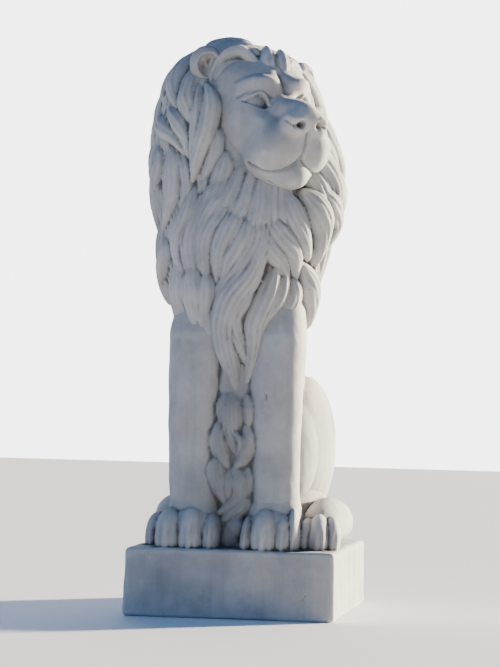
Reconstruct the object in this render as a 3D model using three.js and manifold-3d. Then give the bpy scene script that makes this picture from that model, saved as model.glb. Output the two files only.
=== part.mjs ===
// A sitting lion, head turned to its left, cast in one piece with the low plinth it sits on.
// Millimetres, +Z up. The lion faces -Y, and the origin is the middle of the plinth's underside.
import * as THREE from "three";
import { mergeVertices } from "three/addons/utils/BufferGeometryUtils.js";
import Module from "manifold-3d";

const wasm = await Module();
wasm.setup();

// Driving sizes.
const FIGURE_HEIGHT = 734; // from the plinth's top to the crown of the mane
const PLINTH_HEIGHT = 96;
const PLINTH_SIDE_MARGIN = 3; // plinth left bare beside the hind feet
const PLINTH_FRONT_MARGIN = 5; // plinth left bare in front of the claws
const PLINTH_BACK_MARGIN = 8; // plinth left bare behind the tail
const PLINTH_CORNER_RADIUS = 11; // upright corners, seen from above
const PLINTH_EDGE_RADIUS = 5; // worn edges round the top and the underside
const PLINTH_DRAFT = 2; // how much each side leans in at the top, to leave the mould
const SEAT_DEPTH = 4; // how far the lion's underside runs into the plinth

// The figure is drawn on a grid of shares of its own height. At its real height one share is a millimetre.
const HEIGHT_SHARES = 734;
const SHARE = FIGURE_HEIGHT / HEIGHT_SHARES;
const at = (x, y, z) => new THREE.Vector3(x * SHARE, y * SHARE, z * SHARE + PLINTH_HEIGHT);
const size = (x, y, z) => new THREE.Vector3(x, y, z).multiplyScalar(SHARE);
const radians = THREE.MathUtils.degToRad;

// Places on the figure's grid. x runs to the viewer's right and y to the back, both from the plinth's middle,
// and z runs up from the plinth's top.
const FOOT_REACH = 147; // outermost side of the hind feet
const CLAW_REACH = 190; // foremost claws
const CLAW_FRONT = 4 - CLAW_REACH;
const TAIL_REACH = 187; // the tail's back
const FRONT_LEG_X = 57;
const LEAN_X = -9; // the upper figure stands a little to the viewer's left of the feet
const HAUNCH_X = 75;
const HIND_FOOT_X = { left: -103, right: 117 }; // as the viewer sees them

// Turns a closed three.js geometry into a solid, facing out.
function solid(geometry) {
  const bare = geometry.clone();
  bare.deleteAttribute("normal");
  bare.deleteAttribute("uv");
  const merged = mergeVertices(bare, 1e-3);
  const triVerts = new Uint32Array(merged.index.array);
  const vertProperties = merged.attributes.position.array;
  const [a, b, c] = [0, 1, 2].map(() => new THREE.Vector3());
  let volume = 0;
  for (let i = 0; i < triVerts.length; i += 3) {
    a.fromArray(vertProperties, triVerts[i] * 3);
    b.fromArray(vertProperties, triVerts[i + 1] * 3);
    c.fromArray(vertProperties, triVerts[i + 2] * 3);
    volume += a.dot(b.cross(c));
  }
  if (volume < 0)
    for (let i = 0; i < triVerts.length; i += 3)
      [triVerts[i + 1], triVerts[i + 2]] = [triVerts[i + 2], triVerts[i + 1]];
  return new wasm.Manifold(new wasm.Mesh({ numProp: 3, vertProperties, triVerts }));
}

const joined = (solids) => solids.reduce((all, one) => all.add(one));

// Moves every vertex of a geometry by a function of its old place.
function shaped(geometry, move) {
  const places = geometry.attributes.position;
  const place = new THREE.Vector3();
  for (let i = 0; i < places.count; i++) {
    place.fromBufferAttribute(places, i);
    const moved = move(place);
    places.setXYZ(i, moved.x, moved.y, moved.z);
  }
  return geometry;
}

// Reads rows of numbers at any height, straight from one row to the next. The height is their first number.
function readAt(rows, height) {
  let i = 0;
  while (i < rows.length - 2 && height > rows[i + 1][0]) i++;
  const [low, high] = [rows[i], rows[i + 1]];
  const t = THREE.MathUtils.clamp((height - low[0]) / (high[0] - low[0]), 0, 1);
  return low.slice(1).map((value, n) => THREE.MathUtils.lerp(value, high[n + 1], t));
}

// A column with one ring for each row. place(row, x, y) puts a point of the unit circle on that row.
function stacked(rows, around, place) {
  const column = new THREE.CylinderGeometry(1, 1, 1, around, rows.length - 1).rotateX(Math.PI / 2);
  return solid(shaped(column, (p) => place(rows[Math.round((p.z + 0.5) * (rows.length - 1))], p.x, p.y)));
}

// A ball of the given radii, turned about the upright axis and then tipped about its own side to side axis.
function ball(centre, radii, { turn = 0, tip = 0, around = 10, along = 8 } = {}) {
  const geometry = new THREE.SphereGeometry(1, around, along);
  geometry.scale(radii.x, radii.y, radii.z);
  geometry.rotateX(radians(tip));
  geometry.rotateZ(radians(turn));
  geometry.translate(centre.x, centre.y, centre.z);
  return solid(geometry);
}

// A ball drawn out along a path. half(t) gives half its width and half its thickness at share t of the path,
// and outward(t) is the direction that the thickness is measured in.
function drawnOut(path, half, outward, around = 6, along = 5) {
  const geometry = new THREE.SphereGeometry(1, around, along);
  geometry.rotateX(Math.PI / 2);
  geometry.rotateZ(Math.PI / 2);
  return solid(
    shaped(geometry, (p) => {
      const t = Math.acos(THREE.MathUtils.clamp(p.z, -1, 1)) / Math.PI;
      const ring = Math.hypot(p.x, p.y) || 1;
      const tangent = path.getTangent(t);
      const out = outward(t).clone();
      out.addScaledVector(tangent, -out.dot(tangent)).normalize();
      const side = new THREE.Vector3().crossVectors(tangent, out);
      const [wide, thick] = half(t);
      return path
        .getPoint(t)
        .addScaledVector(side, (p.x / ring) * wide)
        .addScaledVector(out, (p.y / ring) * thick);
    }),
  );
}

// Full in the middle and closed at both ends, like a leaf or a willow twig.
const leaf = (t) => Math.sin(Math.PI * t ** 0.8) ** 0.8;
// A round ended bar.
const bar = (t) => Math.sqrt(Math.max(0, 1 - Math.abs(2 * t - 1) ** 4));

// PLINTH: a rounded block that leans in towards its top.
function plinth() {
  const halfWidth = FOOT_REACH * SHARE + PLINTH_SIDE_MARGIN;
  const front = -CLAW_REACH * SHARE - PLINTH_FRONT_MARGIN;
  const back = TAIL_REACH * SHARE + PLINTH_BACK_MARGIN;
  const [left, right] = [-halfWidth + PLINTH_EDGE_RADIUS, halfWidth - PLINTH_EDGE_RADIUS];
  const [near, far] = [front + PLINTH_EDGE_RADIUS, back - PLINTH_EDGE_RADIUS];
  const r = PLINTH_CORNER_RADIUS - PLINTH_EDGE_RADIUS;
  const outline = new THREE.Shape();
  outline.moveTo(left + r, near).lineTo(right - r, near);
  outline.absarc(right - r, near + r, r, -Math.PI / 2, 0).lineTo(right, far - r);
  outline.absarc(right - r, far - r, r, 0, Math.PI / 2).lineTo(left + r, far);
  outline.absarc(left + r, far - r, r, Math.PI / 2, Math.PI).lineTo(left, near + r);
  outline.absarc(left + r, near + r, r, Math.PI, Math.PI * 1.5);
  const block = new THREE.ExtrudeGeometry(outline, {
    depth: PLINTH_HEIGHT - 2 * PLINTH_EDGE_RADIUS,
    bevelSize: PLINTH_EDGE_RADIUS,
    bevelThickness: PLINTH_EDGE_RADIUS,
    bevelSegments: 3,
    curveSegments: 4,
  });
  block.translate(0, 0, PLINTH_EDGE_RADIUS);
  return solid(
    shaped(block, (p) => {
      const lean = 1 - (PLINTH_DRAFT / halfWidth) * (p.z / PLINTH_HEIGHT);
      return p.set(p.x * lean, p.y * lean, p.z);
    }),
  );
}

// TRUNK AND MANE: ellipses stacked from the seat to the crown, as z, middle x, middle y, half width, half depth
// and turn. The upper ones turn with the head.
const HEAD_TURN = 40; // degrees to the viewer's right
const TRUNK_ROWS = [
  [-SEAT_DEPTH, 0, 42, 104, 130, 0],
  [90, -1, 40, 106, 134, 0],
  [170, -2, 26, 96, 130, 0],
  [250, -7, -2, 79, 117, 0],
  [315, -16, -22, 92, 112, 0],
  [370, -17, -28, 105, 114, 0],
  [430, -15, -30, 117, 117, 0],
  [500, -8, -25, 134, 111, 10],
  [555, -13, -17, 136, 105, 21],
  [605, -23, -12, 128, 101, 34],
  [650, -26, -10, 114, 93, HEAD_TURN],
  [690, -28, -8, 91, 75, HEAD_TURN],
  [718, -29, -7, 60, 49, HEAD_TURN],
  [731, -29, -6, 24, 20, HEAD_TURN],
];
const trunkAt = (z) => readAt(TRUNK_ROWS, z);

function trunk() {
  return stacked(TRUNK_ROWS, 20, ([z, x, y, wide, deep, turn], u, v) => {
    const across = new THREE.Vector2(u * wide, v * deep).rotateAround(new THREE.Vector2(), radians(turn));
    return at(x + across.x, y + across.y, z);
  });
}

// A point on the mane's surface, at theta degrees from the lion's front towards the viewer's right, raised by
// lift.
function onMane(theta, z, lift = 0) {
  const [x, y, wide, deep, turn] = trunkAt(z);
  const ray = new THREE.Vector2(Math.sin(radians(theta)), -Math.cos(radians(theta)));
  const local = ray.clone().rotateAround(new THREE.Vector2(), -radians(turn));
  const reach = 1 / Math.hypot(local.x / wide, local.y / deep) + lift;
  return at(x + ray.x * reach, y + ray.y * reach, z);
}

// The direction straight out of the mane's surface.
function outOfMane(theta, z) {
  const step = 4;
  const round = onMane(theta + step, z).sub(onMane(theta - step, z));
  const up = onMane(theta, z + step).sub(onMane(theta, z - step));
  return round.cross(up).normalize();
}

const LOCK_BED = 3; // a lock's middle lies this far inside the mane, so that nothing hollow is left under it

// One lock of hair on the mane, from root to tip, both as [theta, z]. sway moves its middle sideways, first
// near the root and then near the tip. proud is how far its crest stands off the mane.
function lock({ root, tip, sway = [0, 0], width = 36, proud = 11 }) {
  const thick = 2 * (proud + LOCK_BED);
  const lerp = THREE.MathUtils.lerp;
  const spots = [0, 1 / 3, 2 / 3, 1].map((t) => [lerp(root[0], tip[0], t), lerp(root[1], tip[1], t)]);
  const lifts = [-0.7 * proud, 0, 0, 0].map((lift) => lift - LOCK_BED);
  const points = spots.map(([theta, z], i) => onMane(theta, z, lifts[i]));
  const outs = spots.map(([theta, z]) => outOfMane(theta, z));
  const run = points[3].clone().sub(points[0]);
  [1, 2].forEach((i) => {
    const side = new THREE.Vector3().crossVectors(run, outs[i]).normalize();
    points[i].addScaledVector(side, sway[i - 1] * SHARE);
  });
  const path = new THREE.CatmullRomCurve3(points);
  const outward = (t) => {
    const i = Math.min(2, Math.floor(t * 3));
    return outs[i].clone().lerp(outs[i + 1], t * 3 - i);
  };
  const half = (t) => [(leaf(t) * width * SHARE) / 2, (Math.sqrt(leaf(t)) * thick * SHARE) / 2];
  return drawnOut(path, half, outward, 5);
}

// The locks that show in front, placed one by one.
const FRONT_LOCKS = [
  // viewer's left of the face, from the ear down
  { root: [-12, 672], tip: [-26, 540], sway: [-16, -2], width: 42, proud: 14 },
  { root: [-34, 690], tip: [-30, 585], sway: [18, 12], width: 50, proud: 10 },
  { root: [-60, 690], tip: [-48, 596], sway: [14, 14], width: 50, proud: 8 },
  { root: [-64, 624], tip: [-27, 548], sway: [-14, -18], width: 44, proud: 13 },
  { root: [-42, 592], tip: [-62, 434], sway: [0, 8], width: 60, proud: 13 },
  { root: [-72, 594], tip: [-76, 440], sway: [6, 8], width: 54, proud: 9 },
  { root: [-54, 466], tip: [-73, 320], sway: [2, 8], width: 54, proud: 14 },
  { root: [-34, 506], tip: [-30, 352], sway: [16, 10], width: 48, proud: 13 },
  { root: [-32, 430], tip: [-32, 298], sway: [6, 4], width: 54, proud: 13 },
  // below the cheek and chin
  { root: [-14, 530], tip: [-30, 424], sway: [6, 8], width: 38, proud: 11 },
  { root: [-1, 514], tip: [-20, 396], sway: [-2, 8], width: 40, proud: 13 },
  { root: [10, 490], tip: [-22, 352], sway: [0, 12], width: 50, proud: 11 },
  { root: [18, 488], tip: [4, 340], sway: [-8, 8], width: 50, proud: 12 },
  { root: [22, 484], tip: [42, 348], sway: [-14, -8], width: 54, proud: 13 },
  { root: [34, 514], tip: [56, 390], sway: [-16, -10], width: 64, proud: 14 },
  // the beard, a long pair of locks that cross and meet in one point
  { root: [14, 430], tip: [0, 224], sway: [34, 24], width: 50, proud: 22 },
  { root: [20, 420], tip: [3, 234], sway: [-8, -20], width: 50, proud: 20 },
  { root: [32, 410], tip: [36, 308], sway: [-6, -6], width: 44, proud: 11 },
  // viewer's right of the face
  { root: [58, 650], tip: [82, 524], sway: [-12, -8], width: 54, proud: 9 },
  { root: [52, 596], tip: [80, 450], sway: [-18, -12], width: 62, proud: 19 },
  { root: [48, 548], tip: [66, 395], sway: [-20, -14], width: 56, proud: 15 },
  { root: [54, 420], tip: [60, 300], sway: [-4, -4], width: 44, proud: 12 },
  { root: [76, 460], tip: [80, 316], sway: [-8, -8], width: 56, proud: 16 },
  // the crown: combed back on each side of the parting
  { root: [44, 660], tip: [-40, 716], sway: [-20, -16], width: 46, proud: 12 },
  { root: [50, 664], tip: [24, 724], sway: [-8, -8], width: 38, proud: 12 },
  { root: [58, 662], tip: [104, 704], sway: [10, 10], width: 40, proud: 11 },
];

// The sides and back: rows of like locks, each row staggered against the one above it.
function backLocks() {
  const rows = [
    { z: 722, drop: 108, count: 5, from: 116, to: 320, width: 70 },
    { z: 648, drop: 134, count: 6, from: 102, to: 280, width: 80 },
    { z: 556, drop: 140, count: 6, from: 102, to: 280, width: 82 },
    { z: 456, drop: 132, count: 5, from: 104, to: 272, width: 80 },
  ];
  return rows.flatMap(({ z, drop, count, from, to, width }, row) =>
    Array.from({ length: count }, (_, i) => {
      const theta = THREE.MathUtils.lerp(from, to, (i + (row % 2) * 0.5) / (count - 0.5));
      const drift = theta < 180 ? 7 : -7;
      const bend = (i % 2 ? 10 : -8) + 3 * row;
      return { root: [theta - drift, z], tip: [theta, z - drop], sway: [bend, -bend * 0.5], width, proud: 9 };
    }),
  );
}

// FRONT LEGS: squarish columns, as z, middle y, half width, half depth, share of the lean.
const FRONT_LEG_ROWS = [
  [-SEAT_DEPTH, -104, 37, 38, 0.3],
  [45, -107, 35, 34, 0.5],
  [90, -108, 36, 34, 0.8],
  [170, -106, 38, 37, 1],
  [250, -100, 40, 42, 1],
  [310, -90, 42, 48, 1],
  [360, -74, 40, 50, 1],
];

function frontLeg(side) {
  const square = (v) => Math.sign(v) * Math.abs(v) ** 0.8;
  return stacked(FRONT_LEG_ROWS, 16, ([z, y, wide, deep, lean], u, v) =>
    at(side * FRONT_LEG_X + LEAN_X * lean + square(u) * wide, y + square(v) * deep, z),
  );
}

// A toe arches from the paw over its knuckle and down to the claw. heading is its turn from straight ahead.
function toe(x, y, { heading = 0, length = 74, width = 27, height = 46 }) {
  const ahead = new THREE.Vector3(Math.sin(radians(heading)), -Math.cos(radians(heading)), 0);
  const along = (distance, z) => at(x, y, z).addScaledVector(ahead, (distance - length) * SHARE);
  const path = new THREE.CatmullRomCurve3([
    along(0, height * 0.4),
    along(length * 0.42, height * 0.58),
    along(length * 0.76, height * 0.42),
    along(length, height * 0.1),
  ]);
  const half = (t) => [(bar(t) * width * SHARE) / 2, bar(t) * height * 0.44 * SHARE];
  return drawnOut(path, half, () => new THREE.Vector3(0, -0.4, 1));
}

function frontPaw(side) {
  const middle = side * FRONT_LEG_X - 5;
  const heel = ball(at(middle, -124, 16), size(45, 52, 34), { around: 10, along: 5 });
  const toes = [
    toe(middle - side * 37, -182, { heading: -side * 6, height: 49, width: 28 }),
    toe(middle - side * 12, CLAW_FRONT, { heading: -side * 2, height: 57, width: 31 }),
    toe(middle + side * 16, CLAW_FRONT, { heading: side * 3, height: 57, width: 31 }),
    toe(middle + side * 42, -178, { heading: side * 8, height: 50, width: 27 }),
  ];
  return joined([heel, ...toes]);
}

// HIND QUARTERS: a broad thigh on each side, and a long foot flat on the plinth beside the front paw.
function haunch(side) {
  const thigh = ball(at(side * HAUNCH_X, 54, 138), size(43, 116, 106), { tip: -10, around: 14, along: 10 });
  const knee = ball(at(side * (HAUNCH_X + 2), -28, 142), size(38, 54, 66), { tip: -12, around: 8, along: 7 });
  return thigh.add(knee);
}

function hindFoot(side) {
  const x = side < 0 ? HIND_FOOT_X.left : HIND_FOOT_X.right;
  const path = new THREE.CatmullRomCurve3([
    at(x - side * 8, -112, 26),
    at(x, -40, 38),
    at(x + side, 40, 34),
    at(x - side * 4, 108, 22),
  ]);
  const half = (t) => [(bar(t) * 58 * SHARE) / 2, bar(t) * (40 - 12 * t) * SHARE];
  const sole = drawnOut(path, half, () => new THREE.Vector3(0, 0, 1), 8, 6);
  const toes = [
    toe(x - side * 19, -148, { heading: -side * 2, height: 46, width: 24, length: 64 }),
    toe(x + side * 1, -150, { heading: side * 3, height: 52, width: 27, length: 68 }),
    toe(x + side * 22, -134, { heading: side * 8, height: 48, width: 22, length: 64 }),
  ];
  return joined([sole, ...toes]);
}

// The tail leaves the rump, turns along the plinth's back edge and ends in a tuft on the lion's right.
function tail() {
  const path = new THREE.CatmullRomCurve3([
    at(24, 140, 76),
    at(34, 168, 34),
    at(2, 174, 10),
    at(-60, 172, 9),
    at(-104, 152, 10),
    at(-124, 112, 12),
  ]);
  const round = (t) => [bar(t) * 13 * SHARE, bar(t) * 13 * SHARE];
  const cord = drawnOut(path, round, () => new THREE.Vector3(0, 0, 1), 6, 9);
  const tuft = new THREE.CatmullRomCurve3([
    at(-92, 158, 12),
    at(-120, 136, 16),
    at(-126, 98, 20),
    at(-116, 60, 34),
  ]);
  const full = (t) => [leaf(t) * 21 * SHARE, leaf(t) * 20 * SHARE];
  return cord.add(drawnOut(tuft, full, () => new THREE.Vector3(-0.6, 0, 1), 6, 5));
}

// CHEST HAIR between the front legs, in overlapping locks down to the plinth. A core fills the gap behind it.
const CHEST_CORE_ROWS = [
  // z, half width, half depth
  [-SEAT_DEPTH, 52, 52],
  [120, 46, 50],
  [240, 44, 50],
  [330, 40, 50],
];
const CHEST_FRONT = -128;
const CHEST_LOCKS = [
  // x, z of the root, x, z of the tip, sway near the root and near the tip, width
  [-14, 262, -2, 152, -4, -10, 26],
  [12, 258, 16, 168, 6, 8, 24],
  [-18, 190, 2, 104, -10, -8, 28],
  [16, 186, 4, 112, 10, 12, 26],
  [-18, 134, -6, 26, -8, 6, 28],
  [14, 118, 12, 22, 6, 6, 22],
];
function chestHair() {
  const core = stacked(CHEST_CORE_ROWS, 8, ([z, wide, deep], u, v) =>
    at(-3 + u * wide, CHEST_FRONT + 46 + v * deep, z),
  );
  const ahead = new THREE.Vector3(0, -1, 0);
  const locks = CHEST_LOCKS.map(([x0, z0, x1, z1, near, far, width]) => {
    const path = new THREE.CatmullRomCurve3([
      at(x0, CHEST_FRONT + 8, z0),
      at(x0 + (x1 - x0) / 3 + near, CHEST_FRONT - 4, z0 + (z1 - z0) / 3),
      at(x0 + ((x1 - x0) * 2) / 3 + far, CHEST_FRONT - 6, z0 + ((z1 - z0) * 2) / 3),
      at(x1, CHEST_FRONT - 8, z1),
    ]);
    const half = (t) => [(leaf(t) * width * SHARE) / 2, Math.sqrt(leaf(t)) * 9 * SHARE];
    return drawnOut(path, half, () => ahead);
  });
  const rubble = ball(at(-1, CHEST_FRONT - 6, 10), size(22, 34, 30), { around: 8, along: 5 });
  return joined([core, rubble, ...locks]);
}

// HEAD: drawn in its own grid, forward, to the lion's right and up from the middle of the skull, then turned.
const SKULL = [0, -43, 640];
const onHead = (forward, right, up) => {
  const turned = new THREE.Vector2(-right, -forward);
  turned.rotateAround(new THREE.Vector2(), radians(HEAD_TURN));
  return at(SKULL[0] + turned.x, SKULL[1] + turned.y, SKULL[2] + up);
};

// Rounded masses that melt into each other: forward, right, up of the middle, then the radii. Those off the
// middle line are there on both sides.
const HEAD_MASSES = [
  [-8, 0, 14, 76, 72, 56], // skull
  [20, 44, -32, 54, 36, 62], // cheek
  [50, 26, 20, 28, 29, 15], // brow
  [34, 0, -8, 46, 38, 38], // between the eyes
  [90, 0, -24, 54, 23, 20], // bridge of the nose
  [134, 0, -37, 18, 22, 13], // nose
  [134, 17, -42, 14, 13, 12], // wing of the nose
  [62, 38, -46, 34, 20, 26], // under the eye
  [98, 27, -70, 38, 28, 31], // whisker pad
  [104, 0, -64, 33, 18, 28], // between the whisker pads
  [82, 40, -84, 30, 21, 22], // corner of the lips
  [94, 0, -112, 32, 25, 18], // chin
  [54, 0, -106, 60, 45, 24], // lower jaw
  [4, 0, -100, 64, 66, 44], // throat
];
const HEAD_BLEND = 7;

function headDistance(forward, right, up) {
  const side = Math.abs(right);
  let total = 0;
  for (const [f, r, u, a, b, c] of HEAD_MASSES) {
    const [x, y, z] = [forward - f, side - r, up - u];
    const near = Math.hypot(x / a, y / b, z / c);
    const steep = Math.hypot(x / (a * a), y / (b * b), z / (c * c)) || 1e-6;
    total += Math.exp(-((near * (near - 1)) / steep) / HEAD_BLEND);
  }
  return -HEAD_BLEND * Math.log(total + 1e-300);
}

// The face is a globe shrunk onto the melted masses from outside, along rays from the heart of the head.
function face() {
  const heart = [30, 0, -38];
  const globe = new THREE.SphereGeometry(1, 22, 17);
  return solid(
    shaped(globe, (p) => {
      // Rings lie closest together round the nose.
      const polar = Math.PI * (Math.acos(THREE.MathUtils.clamp(p.y, -1, 1)) / Math.PI) ** 1.3;
      const round = Math.atan2(p.x, p.z);
      const ray = [Math.cos(polar), Math.sin(polar) * Math.sin(round), Math.sin(polar) * Math.cos(round)];
      let reach = 190;
      for (let i = 0; i < 60; i++)
        reach -= 0.7 * headDistance(...heart.map((middle, n) => middle + ray[n] * reach));
      return onHead(...heart.map((middle, n) => middle + ray[n] * reach));
    }),
  );
}

// A band along the head, for lids, lips and rims.
function band(points, wide, thick, along = 6) {
  const path = new THREE.CatmullRomCurve3(points.map((p) => onHead(...p)));
  const half = (t) => [bar(t) * wide * SHARE, bar(t) * thick * SHARE];
  return drawnOut(path, half, () => new THREE.Vector3(0, 0, 1), 5, along);
}

function eyeSocket(s) {
  return ball(onHead(76, s * 38, -10), size(15, 19, 9), { turn: HEAD_TURN, around: 6, along: 5 });
}

function eye(s) {
  const globe = ball(onHead(60, s * 37, -9), size(12, 13, 11), { turn: HEAD_TURN, around: 8, along: 5 });
  const lid = band([[50, s * 55, -8], [68, s * 46, 2], [76, s * 32, 1], [79, s * 22, -12]], 5, 3.5, 5);
  return globe.add(lid);
}

// A round ear, cupped towards the front.
function ear(s, up) {
  const outward = HEAD_TURN - s * 30;
  const shell = ball(onHead(-5, s * 80, up), size(25, 16, 26), { turn: outward, around: 9, along: 6 });
  const cup = ball(onHead(9, s * 87, up - 1), size(15, 14, 16), { turn: outward, around: 6, along: 4 });
  return shell.subtract(cup);
}

function head() {
  const both = [1, -1];
  const pit = { turn: HEAD_TURN, around: 5, along: 4 };
  const nostrils = both.map((s) => ball(onHead(149, s * 15, -45), size(7, 7, 6), pit));
  const halfMouth = [[66, 64, -98], [92, 54, -107], [116, 34, -104]];
  const otherHalf = halfMouth.map(([forward, right, up]) => [forward, -right, up]).reverse();
  const mouth = band([...halfMouth, [136, 0, -88], ...otherHalf], 12, 2.2, 7);
  const cut = joined([...nostrils, mouth, ...both.map(eyeSocket)]);
  return joined([face().subtract(cut), ...both.map(eye), ear(1, 50), ear(-1, 38)]);
}

// THE WHOLE CAST: every form is joined into one solid.
const lion = joined([
  plinth(),
  trunk(),
  ...[-1, 1].flatMap((side) => [frontLeg(side), frontPaw(side), haunch(side), hindFoot(side)]),
  tail(),
  chestHair(),
  head(),
  ...[...FRONT_LOCKS, ...backLocks()].map(lock),
]);

function geometryOf(manifold) {
  const mesh = manifold.getMesh();
  const places = new Float32Array(mesh.numVert * 3);
  for (let i = 0; i < mesh.numVert; i++)
    places.set(mesh.vertProperties.subarray(i * mesh.numProp, i * mesh.numProp + 3), i * 3);
  const geometry = new THREE.BufferGeometry();
  geometry.setAttribute("position", new THREE.BufferAttribute(places, 3));
  geometry.setIndex(new THREE.BufferAttribute(mesh.triVerts, 1));
  geometry.computeVertexNormals();
  return geometry;
}

const castStone = new THREE.MeshStandardMaterial({ color: 0xc9c5bb, roughness: 0.85, metalness: 0 });
const statue = new THREE.Mesh(geometryOf(lion), castStone);
statue.name = "lion_statue";

const group = new THREE.Group();
group.add(statue);
export default group;
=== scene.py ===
"""The looks of the cast stone lion: carved hair, face, paws and plinth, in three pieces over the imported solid."""

import math

import bpy
import numpy as np
from mathutils import Matrix, Vector


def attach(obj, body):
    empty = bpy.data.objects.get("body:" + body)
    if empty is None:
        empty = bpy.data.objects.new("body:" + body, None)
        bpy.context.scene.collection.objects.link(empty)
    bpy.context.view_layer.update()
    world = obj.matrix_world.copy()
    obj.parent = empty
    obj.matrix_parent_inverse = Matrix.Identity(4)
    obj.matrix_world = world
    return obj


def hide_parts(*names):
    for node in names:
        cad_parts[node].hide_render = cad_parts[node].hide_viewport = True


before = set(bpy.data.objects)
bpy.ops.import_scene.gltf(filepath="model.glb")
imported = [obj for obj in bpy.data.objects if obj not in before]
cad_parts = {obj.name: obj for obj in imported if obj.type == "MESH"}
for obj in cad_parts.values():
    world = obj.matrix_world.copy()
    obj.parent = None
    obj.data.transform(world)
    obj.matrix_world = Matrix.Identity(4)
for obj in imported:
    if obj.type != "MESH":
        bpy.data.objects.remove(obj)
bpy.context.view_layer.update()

MM = 0.001
PLINTH_HEIGHT = 96
HEAD_GRAIN, MANE_GRAIN, BODY_GRAIN = ((1.1, 1.8, 2.0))
TRIANGLE_LIMIT = 195000

# -------- the sculptor's helpers
# All forms are drawn in millimetres on the part's own grid: x to the viewer's right, y to the back, and z up
# from the plinth's top.


def deselect():
    bpy.ops.object.select_all(action="DESELECT")


def chosen(piece):
    """Selects one piece alone, as Blender's own tools need."""
    deselect()
    piece.select_set(True)
    bpy.context.view_layer.objects.active = piece


def globe(segments, rings):
    """A unit globe with its poles up and down, ready to be shaped."""
    deselect()
    bpy.ops.mesh.primitive_uv_sphere_add(segments=segments, ring_count=rings, radius=1, location=(0, 0, 0))
    return bpy.context.object


def places_of(piece):
    places = np.empty(len(piece.data.vertices) * 3)
    piece.data.vertices.foreach_get("co", places)
    return places.reshape(-1, 3)


def normals_of(piece):
    normals = np.empty(len(piece.data.vertices) * 3)
    piece.data.vertices.foreach_get("normal", normals)
    return normals.reshape(-1, 3)


def put(piece, places):
    piece.data.vertices.foreach_set("co", np.ascontiguousarray(places).ravel())
    piece.data.update()
    return piece


def spline(points):
    """A smooth curve through points, read at shares of its run from 0 to 1."""
    knots = np.asarray(points, float)
    held = np.vstack([2 * knots[0] - knots[1], knots, 2 * knots[-1] - knots[-2]])

    def curve(share):
        place = np.clip(share, 0, 1) * (len(knots) - 1)
        first = np.minimum(place.astype(int), len(knots) - 2)
        t = (place - first)[:, None]
        a, b, c, d = (held[first + i] for i in range(4))
        return 0.5 * (2 * b + (c - a) * t + (2 * a - 5 * b + 4 * c - d) * t**2 + (3 * b - a - 3 * c + d) * t**3)

    return curve


def unit(vectors):
    return vectors / np.maximum(np.linalg.norm(vectors, axis=-1, keepdims=True), 1e-9)


def leaf(t):
    """Full in the middle and closed at both ends, like a leaf."""
    return np.sin(np.pi * np.clip(t, 0, 1) ** 0.8) ** 0.8


def bar(t):
    """A round ended bar."""
    return np.sqrt(np.maximum(0, 1 - np.abs(2 * t - 1) ** 4))


def always(way):
    """The same way out at every share of a path."""
    return lambda t: np.tile(np.asarray(way, float), (len(t), 1))


def unrolled(piece):
    """A globe's places as shares of the way from its upper pole to its lower one, and as the two parts of a way
    straight out from its axis."""
    start = places_of(piece)
    share = np.arccos(np.clip(start[:, 2], -1, 1)) / np.pi
    ring = np.hypot(start[:, 0], start[:, 1])
    off_axis = ring > 1e-6
    u, v = [np.where(off_axis, start[:, axis] / np.maximum(ring, 1e-9), 0) for axis in (0, 1)]
    return share, u, v


def rows_at(rows, z):
    """The measures in a table's columns at heights z, which its first column gives."""
    return [np.interp(z, rows[:, 0], column) for column in rows[:, 1:].T]


def drawn_out(path, outward, wide, thick, relief=None, segments=24, rings=32):
    """A globe drawn out along a path. wide(t) and thick(t) are half sizes, outward(t) is the way that the
    thickness is measured, and relief(u, t) lowers its outer side at share u from -1 to 1 across it."""
    piece = globe(segments, rings)
    t, u, v = unrolled(piece)
    ahead = unit(path(np.minimum(t + 0.01, 1)) - path(np.maximum(t - 0.01, 0)))
    out = outward(t)
    out = unit(out - ahead * np.sum(out * ahead, axis=1, keepdims=True))
    side = np.cross(ahead, out)
    rise = v * thick(t)
    if relief is not None:
        rise = rise - relief(u, t) * np.clip(v * 2, 0, 1)
    return put(piece, path(t) + side * (u * wide(t))[:, None] + out * rise[:, None])


def ball(centre, radii, turn=0, tip=0, segments=32, rings=20):
    """A ball with three radii, tipped forward or back and then turned."""
    piece = globe(segments, rings)
    places = places_of(piece) * radii
    move = Matrix.Rotation(math.radians(turn), 3, "Z") @ Matrix.Rotation(math.radians(tip), 3, "X")
    return put(piece, places @ np.array(move).T + centre)


def joined(pieces, name):
    """One mesh of many closed forms."""
    deselect()
    for piece in pieces:
        piece.select_set(True)
    bpy.context.view_layer.objects.active = pieces[0]
    bpy.ops.object.join()
    piece = bpy.context.object
    piece.name = name
    return piece


def finished(piece, kind, **settings):
    """Puts a modifier on a piece and applies it."""
    modifier = piece.modifiers.new(kind.title(), kind)
    for name, value in settings.items():
        setattr(modifier, name, value)
    chosen(piece)
    bpy.ops.object.modifier_apply(modifier=modifier.name)
    return piece


# -------- trunk and mane
HEAD_TURN = 40
# z, middle x, middle y, half width, half depth, turn
TRUNK_ROWS = np.array(
    [
        [-4, 0, 42, 104, 130, 0],
        [90, -1, 40, 106, 134, 0],
        [170, -2, 26, 96, 130, 0],
        [250, -7, -2, 79, 117, 0],
        [315, -16, -22, 88, 108, 0],
        [370, -17, -28, 101, 110, 0],
        [430, -15, -30, 113, 113, 0],
        [500, -8, -25, 130, 107, 10],
        [555, -13, -17, 132, 101, 21],
        [605, -23, -12, 124, 97, 34],
        [650, -26, -10, 110, 89, 40],
        [690, -28, -8, 88, 72, 40],
        [718, -29, -7, 58, 47, 40],
        [729, -29, -6, 24, 20, 40],
    ],
    float,
)


def trunk_at(z):
    """The trunk's middle x and y, half width, half depth and turn at heights z."""
    return rows_at(TRUNK_ROWS, np.atleast_1d(np.asarray(z, float)))


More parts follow.
